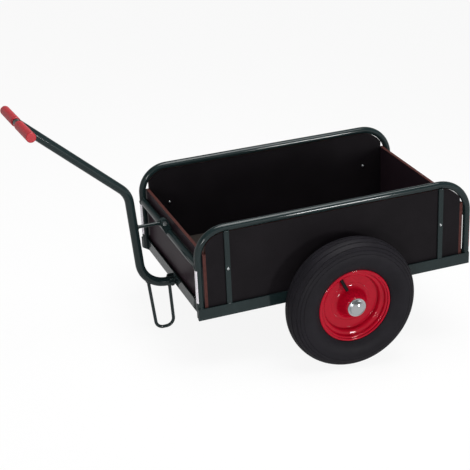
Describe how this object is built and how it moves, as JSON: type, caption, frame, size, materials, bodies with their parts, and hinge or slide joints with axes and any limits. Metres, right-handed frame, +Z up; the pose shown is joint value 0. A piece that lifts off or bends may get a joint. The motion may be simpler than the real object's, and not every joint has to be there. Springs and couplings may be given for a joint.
{
  "type": "two-wheeled hand cart",
  "caption": "Two-wheeled hand cart with a boarded load bed in bent tube hoops, pneumatic wheels on red rims, a bent drawbar with a cross handle and a rod parking loop.",
  "frame": {"origin": "on the floor under the middle of the cart's bounding box", "axes": "+X to the tail, away from the handle; +Y to the cart's right side; +Z up, parked"},
  "size_m": [1.3502, 0.7886, 0.6976],
  "materials": {
    "frame_enamel": "gloss",
    "coated_board": "satin",
    "rim_enamel": "gloss",
    "tyre_rubber": "matte",
    "valve_rubber": "matte",
    "cap_chrome": "polished",
    "zinc_steel": "satin",
    "grip_vinyl": "gloss"
  },
  "bodies": {
    "cart": {"side_beam_left": "frame_enamel", "side_beam_right": "frame_enamel", "front_beam": "frame_enamel", "rear_beam": "frame_enamel", "hoop_left": "frame_enamel", "hoop_right": "frame_enamel", "front_crossbar": "frame_enamel", "rear_crossbar": "frame_enamel", "upright_left_front": "frame_enamel", "upright_left_rear": "frame_enamel", "upright_right_front": "frame_enamel", "upright_right_rear": "frame_enamel", "side_panel_left": "coated_board", "side_panel_right": "coated_board", "front_panel": "coated_board", "rear_panel": "coated_board", "floor_board": "coated_board", "axle": "zinc_steel", "axle_collar_left": "zinc_steel", "axle_washer_left": "zinc_steel", "hub_cap_left": "cap_chrome", "axle_collar_right": "zinc_steel", "axle_washer_right": "zinc_steel", "hub_cap_right": "cap_chrome", "drawbar": "frame_enamel", "handle_bar": "frame_enamel", "grip_left": "grip_vinyl", "grip_right": "grip_vinyl", "strut": "frame_enamel", "strut_lug": "frame_enamel", "drawbar_bracket": "frame_enamel", "strut_bolt": "zinc_steel", "drawbar_bolt": "zinc_steel", "stand": "frame_enamel"},
    "wheel_left": {"tyre_left": "tyre_rubber", "rim_left": "rim_enamel", "hub_left": "rim_enamel", "valve_left": "valve_rubber"},
    "wheel_right": {"tyre_right": "tyre_rubber", "rim_right": "rim_enamel", "hub_right": "rim_enamel", "valve_right": "valve_rubber"}
  },
  "joints": [
    {"name": "left_wheel_spin", "type": "hinge", "parent": "cart", "child": "wheel_left", "pos_m": [0.24782, -0.336, 0.2], "axis": [0, 1, 0], "continuous": true},
    {"name": "right_wheel_spin", "type": "hinge", "parent": "cart", "child": "wheel_right", "pos_m": [0.24782, 0.336, 0.2], "axis": [0, 1, 0], "continuous": true}
  ]
}
